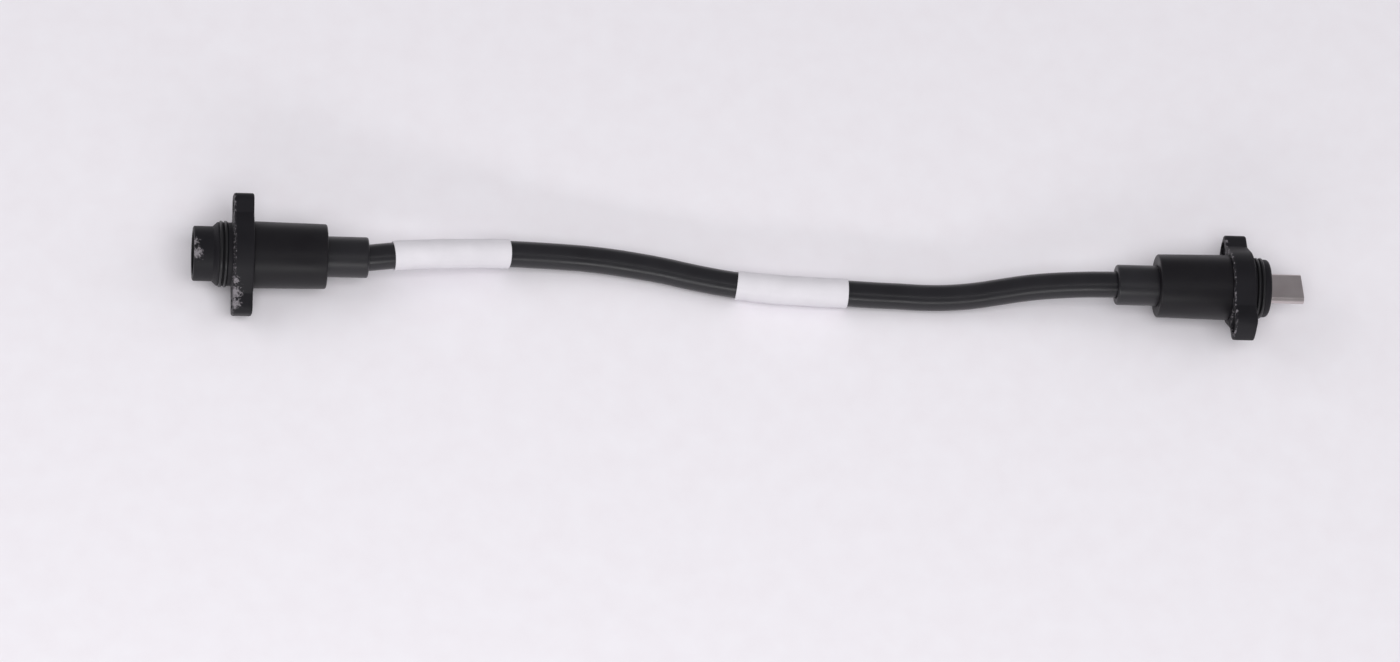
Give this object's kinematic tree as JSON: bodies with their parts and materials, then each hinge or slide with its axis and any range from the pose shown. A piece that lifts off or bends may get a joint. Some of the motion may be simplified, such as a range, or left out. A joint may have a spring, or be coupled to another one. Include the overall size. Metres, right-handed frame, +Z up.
{
  "type": "power adapter dogbone",
  "caption": "Short round black adapter cable with a sealed two-ear flanged connector moulded on each end: a keyed round socket at one end, a flat metal plug at the other.",
  "frame": {"origin": "centre of the bottom of the box round the two connectors, on the surface that the lead lies on", "axes": "+X from the socket end to the plug end, along the longest extent; +Z up, away from the surface"},
  "size_m": [0.2534, 0.0294, 0.017],
  "materials": {
    "shell_plastic": "moulded black nylon, fine matt grain",
    "backshell_plastic": "moulded black, satin",
    "boot_rubber": "black elastomer, satin",
    "seal_rubber": "black sealing rubber, smooth",
    "jacket_rubber": "black cable jacket, slight gloss",
    "label_plastic": "white heat-shrink tube, blank",
    "plug_steel": "drawn stainless steel, satin",
    "contact_gold": "gold plated, smooth",
    "ferrule_tin": "tinned, smooth",
    "shield_braid": "tinned copper braid",
    "conductor_copper": "bare copper",
    "mould_plastic": "dark grey moulded polymer",
    "insulator_plastic": "black moulded polymer",
    "card_laminate": "green glass-epoxy laminate",
    "core_red": "red insulation",
    "core_black": "black insulation",
    "core_white": "white insulation",
    "core_green": "green insulation"
  },
  "bodies": {
    "root": {"socket_shell": "shell_plastic", "socket_ring_front": "seal_rubber", "socket_ring_rear": "seal_rubber", "socket_insert": "mould_plastic", "socket_contacts": "contact_gold", "socket_backshell": "backshell_plastic", "socket_boot": "boot_rubber", "socket_mould": "mould_plastic", "socket_ferrule": "ferrule_tin", "socket_jacket_tail": "jacket_rubber", "socket_shield_tail": "shield_braid", "socket_wire_red": "core_red", "socket_wire_black": "core_black", "socket_wire_white": "core_white", "socket_wire_green": "core_green", "socket_wire_copper": "conductor_copper", "cable_jacket": "jacket_rubber", "cable_shield": "shield_braid", "cable_core_red": "core_red", "cable_core_black": "core_black", "cable_core_white": "core_white", "cable_core_green": "core_green", "cable_copper": "conductor_copper", "label_near_socket": "label_plastic", "label_near_middle": "label_plastic", "plug_shell": "shell_plastic", "plug_ring_front": "seal_rubber", "plug_ring_rear": "seal_rubber", "usb_shell": "plug_steel", "usb_insulator": "insulator_plastic", "usb_contacts_upper": "contact_gold", "usb_contacts_lower": "contact_gold", "usb_latches": "plug_steel", "plug_card": "card_laminate", "plug_backshell": "backshell_plastic", "plug_boot": "boot_rubber", "plug_mould": "mould_plastic", "plug_ferrule": "ferrule_tin", "plug_jacket_tail": "jacket_rubber", "plug_shield_tail": "shield_braid", "plug_wire_red": "core_red", "plug_wire_black": "core_black", "plug_wire_white": "core_white", "plug_wire_green": "core_green", "plug_wire_copper": "conductor_copper"}
  },
  "joints": []
}
